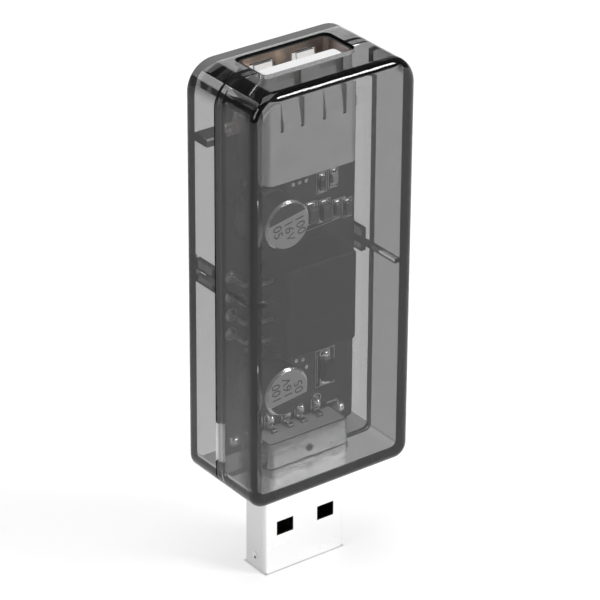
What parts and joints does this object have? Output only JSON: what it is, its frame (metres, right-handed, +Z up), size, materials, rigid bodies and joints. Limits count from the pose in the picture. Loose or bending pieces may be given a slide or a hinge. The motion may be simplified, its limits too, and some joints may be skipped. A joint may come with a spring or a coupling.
{
  "type": "usb isolator",
  "caption": "USB isolator: smoked clear two-shell case with a plug below, a socket above and a power module and capacitors on the board between them.",
  "frame": {"origin": "centre of the plug's tip, on the middle plane between the plug's broad faces", "axes": "+Z up along the plug towards the socket, +X along the broad faces to the viewer's right, -Y out of the front face"},
  "size_m": [0.0234, 0.0141, 0.0676],
  "materials": {
    "smoked_case": "gloss smoked clear",
    "board": "green lacquer",
    "plug_steel": "satin plated",
    "socket_steel": "satin plated",
    "black_moulding": "matt",
    "white_moulding": "satin",
    "module_moulding": "matt",
    "chip_moulding": "matt",
    "tinned_leads": "tinned",
    "can_aluminium": "satin",
    "can_base_plastic": "matt",
    "gold_contact": "bright",
    "capacitor_ceramic": "satin",
    "resistor_ceramic": "satin",
    "lamp_lens": "clear"
  },
  "bodies": {
    "root": {"bypass_capacitor_1": "capacitor_ceramic", "bypass_capacitor_2": "capacitor_ceramic", "chip_capacitor_1": "capacitor_ceramic", "chip_capacitor_2": "capacitor_ceramic", "chip_capacitor_3": "capacitor_ceramic", "chip_capacitor_4": "capacitor_ceramic", "circuit_board": "board", "front_shell": "smoked_case", "isolator_chip": "chip_moulding", "isolator_leads": "tinned_leads", "led_resistor": "resistor_ceramic", "lower_capacitor_base": "can_base_plastic", "lower_capacitor_can": "can_aluminium", "lower_capacitor_leads": "tinned_leads", "module_pin_1": "tinned_leads", "module_pin_2": "tinned_leads", "module_pin_3": "tinned_leads", "module_pin_4": "tinned_leads", "plug_contact_1": "gold_contact", "plug_contact_2": "gold_contact", "plug_contact_3": "gold_contact", "plug_contact_4": "gold_contact", "plug_insulator": "black_moulding", "plug_shell": "plug_steel", "power_diode": "chip_moulding", "power_diode_leads": "tinned_leads", "power_module": "module_moulding", "rear_shell": "smoked_case", "series_resistor_1": "resistor_ceramic", "series_resistor_2": "resistor_ceramic", "series_resistor_3": "resistor_ceramic", "series_resistor_4": "resistor_ceramic", "socket_contact_1": "gold_contact", "socket_contact_2": "gold_contact", "socket_contact_3": "gold_contact", "socket_contact_4": "gold_contact", "socket_insulator": "white_moulding", "socket_shell": "socket_steel", "status_led": "lamp_lens", "upper_capacitor_base": "can_base_plastic", "upper_capacitor_can": "can_aluminium", "upper_capacitor_leads": "tinned_leads"}
  },
  "joints": []
}
